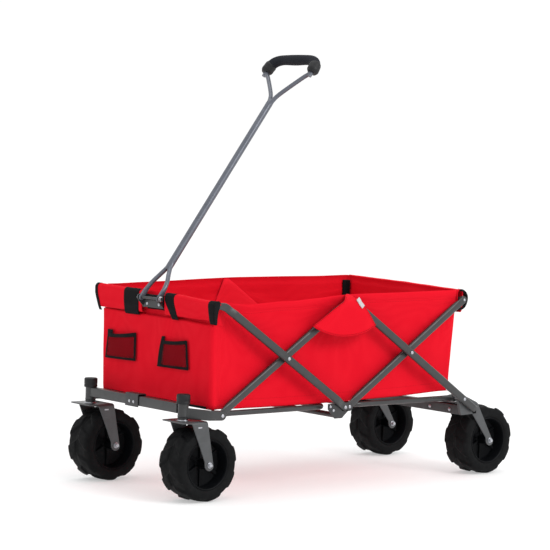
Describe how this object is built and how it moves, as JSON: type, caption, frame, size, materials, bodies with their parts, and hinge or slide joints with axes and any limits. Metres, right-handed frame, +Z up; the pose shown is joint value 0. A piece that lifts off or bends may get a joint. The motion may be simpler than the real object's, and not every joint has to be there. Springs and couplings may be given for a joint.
{
  "type": "folding camp wagon",
  "caption": "Folding camp wagon: open fabric basket in a lattice side frame that folds lengthwise, swivel casters in front, fixed wheels behind and a pull handle.",
  "frame": {"origin": "on the ground, midway between the front and rear axles", "axes": "+X towards the handle and the swivel casters, +Y to the wagon's left, +Z up"},
  "size_m": [1.2224, 0.556, 1.178],
  "materials": {
    "frame": "satin dark grey powder coat",
    "handle_tube": "satin blue-grey powder coat",
    "black_metal": "satin black",
    "zinc": "bright zinc plate",
    "black_plastic": "moulded, matt",
    "grip_foam": "soft foam, matt",
    "tyre": "matt black rubber",
    "rim": "moulded black",
    "fabric": "coated woven polyester, bright red",
    "pocket_mesh": "open mesh over red with a black binding",
    "webbing": "black webbing"
  },
  "bodies": {
    "front_base": {"front_crossbar": "frame", "front_corner_post_left": "frame", "front_corner_post_right": "frame", "post_cap_left": "black_plastic", "post_cap_right": "black_plastic", "front_centre_bracket": "black_metal"},
    "front_inner_bars": {"front_inner_bar_left": "frame", "front_inner_bar_right": "frame"},
    "front_outer_bars": {"front_outer_bar_left": "frame", "front_outer_bar_right": "frame"},
    "front_top": {"front_top_rail": "frame", "handle_bracket": "black_metal", "handle_pivot_bolt": "zinc", "front_hem": "fabric", "front_pocket_right": "pocket_mesh", "front_pocket_left": "pocket_mesh", "hem_strap_right": "webbing", "hem_strap_left": "webbing", "front_corner_strip_left": "webbing", "front_corner_strip_right": "webbing"},
    "bottom_hubs": {"bottom_hub_left": "black_metal", "bottom_hub_right": "black_metal", "centre_strut": "frame"},
    "rear_inner_bars": {"rear_inner_bar_left": "frame", "rear_inner_bar_right": "frame"},
    "rear_top": {"rear_top_rail": "frame", "rear_hem": "fabric", "rear_corner_loop_left": "webbing", "rear_corner_loop_right": "webbing"},
    "top_hubs": {"top_hub_left": "black_metal", "top_hub_right": "black_metal", "side_flap_left": "fabric", "side_flap_right": "fabric", "basket": "fabric"},
    "rear_outer_bars": {"rear_outer_bar_left": "frame", "rear_outer_bar_right": "frame"},
    "rear_base": {"rear_crossbar": "black_metal", "rear_fork_left": "frame", "rear_fork_right": "frame", "rear_axle_bolt_left": "zinc", "rear_axle_bolt_right": "zinc"},
    "front_floor": {"front_floor_frame": "frame"},
    "rear_floor": {"rear_floor_frame": "frame"},
    "caster_left": {"caster_fork_left": "frame", "caster_axle_bolt_left": "zinc"},
    "caster_right": {"caster_fork_right": "frame", "caster_axle_bolt_right": "zinc"},
    "front_wheel_left": {"front_tyre_left": "tyre", "front_rim_left": "rim"},
    "front_wheel_right": {"front_tyre_right": "tyre", "front_rim_right": "rim"},
    "rear_wheel_left": {"rear_tyre_left": "tyre", "rear_rim_left": "rim"},
    "rear_wheel_right": {"rear_tyre_right": "tyre", "rear_rim_right": "rim"},
    "handle": {"handle_frame": "handle_tube", "handle_grip": "grip_foam", "grip_collar_left": "black_plastic", "grip_collar_right": "black_plastic"}
  },
  "joints": [
    {"name": "frame_fold", "type": "hinge", "parent": "front_base", "child": "front_inner_bars", "pos_m": [0.48, 0, 0.2255], "axis": [0, 1, 0], "range_deg": [0, 45], "deforming": ["basket", "side_flap_left", "side_flap_right"]},
    {"name": "front_scissor", "type": "hinge", "parent": "front_inner_bars", "child": "front_outer_bars", "pos_m": [0.26758, 0, 0.36605], "axis": [0, 1, 0], "range_deg": [-90, 0]},
    {"name": "front_top_pivot", "type": "hinge", "parent": "front_outer_bars", "child": "front_top", "pos_m": [0.508, 0, 0.51], "axis": [0, 1, 0], "range_deg": [0, 45]},
    {"name": "bottom_hub_pivot", "type": "hinge", "parent": "front_outer_bars", "child": "bottom_hubs", "pos_m": [0.05515, 0, 0.2255], "axis": [0, 1, 0], "range_deg": [0, 45]},
    {"name": "rear_inner_pivot", "type": "hinge", "parent": "bottom_hubs", "child": "rear_inner_bars", "pos_m": [0.03515, 0, 0.2255], "axis": [0, 1, 0], "range_deg": [0, 45]},
    {"name": "rear_top_pivot", "type": "hinge", "parent": "rear_inner_bars", "child": "rear_top", "pos_m": [-0.3897, 0, 0.5066], "axis": [0, 1, 0], "range_deg": [-45, 0]},
    {"name": "top_hub_pivot", "type": "hinge", "parent": "front_inner_bars", "child": "top_hubs", "pos_m": [0.05515, 0, 0.5066], "axis": [0, 1, 0], "range_deg": [-45, 0]},
    {"name": "rear_outer_pivot", "type": "hinge", "parent": "top_hubs", "child": "rear_outer_bars", "pos_m": [0.03515, 0, 0.5066], "axis": [0, 1, 0], "range_deg": [-45, 0]},
    {"name": "rear_base_pivot", "type": "hinge", "parent": "rear_outer_bars", "child": "rear_base", "pos_m": [-0.3897, 0, 0.2255], "axis": [0, 1, 0], "range_deg": [0, 45]},
    {"name": "front_floor_hinge", "type": "hinge", "parent": "front_base", "child": "front_floor", "pos_m": [0.48, 0, 0.2255], "axis": [0, 1, 0], "range_deg": [0, 90]},
    {"name": "rear_floor_hinge", "type": "hinge", "parent": "rear_base", "child": "rear_floor", "pos_m": [-0.3897, 0, 0.2255], "axis": [0, 1, 0], "range_deg": [-90, 0]},
    {"name": "caster_swivel_left", "type": "hinge", "parent": "front_base", "child": "caster_left", "pos_m": [0.566, 0.206, 0.214], "axis": [0, 0, 1], "continuous": true},
    {"name": "caster_swivel_right", "type": "hinge", "parent": "front_base", "child": "caster_right", "pos_m": [0.566, -0.206, 0.214], "axis": [0, 0, 1], "continuous": true},
    {"name": "front_wheel_spin_left", "type": "hinge", "parent": "caster_left", "child": "front_wheel_left", "pos_m": [0.51275, 0.206, 0.0985], "axis": [0, 1, 0], "continuous": true},
    {"name": "front_wheel_spin_right", "type": "hinge", "parent": "caster_right", "child": "front_wheel_right", "pos_m": [0.51275, -0.206, 0.0985], "axis": [0, 1, 0], "continuous": true},
    {"name": "rear_wheel_spin_left", "type": "hinge", "parent": "rear_base", "child": "rear_wheel_left", "pos_m": [-0.51275, 0.206, 0.0985], "axis": [0, 1, 0], "continuous": true},
    {"name": "rear_wheel_spin_right", "type": "hinge", "parent": "rear_base", "child": "rear_wheel_right", "pos_m": [-0.51275, -0.206, 0.0985], "axis": [0, 1, 0], "continuous": true},
    {"name": "handle_tilt", "type": "hinge", "parent": "front_top", "child": "handle", "pos_m": [0.528, 0, 0.512], "axis": [0, 1, 0], "range_deg": [0, 150]}
  ],
  "couplings": [
    {"joint": "front_scissor", "follows": "frame_fold", "ratio": -2},
    {"joint": "front_top_pivot", "follows": "frame_fold", "ratio": 1},
    {"joint": "bottom_hub_pivot", "follows": "frame_fold", "ratio": 1},
    {"joint": "rear_inner_pivot", "follows": "frame_fold", "ratio": 1},
    {"joint": "rear_top_pivot", "follows": "frame_fold", "ratio": -1},
    {"joint": "top_hub_pivot", "follows": "frame_fold", "ratio": -1},
    {"joint": "rear_outer_pivot", "follows": "frame_fold", "ratio": -1},
    {"joint": "rear_base_pivot", "follows": "frame_fold", "ratio": 1},
    {"joint": "front_floor_hinge", "follows": "frame_fold", "ratio": 2},
    {"joint": "rear_floor_hinge", "follows": "frame_fold", "ratio": -2}
  ]
}
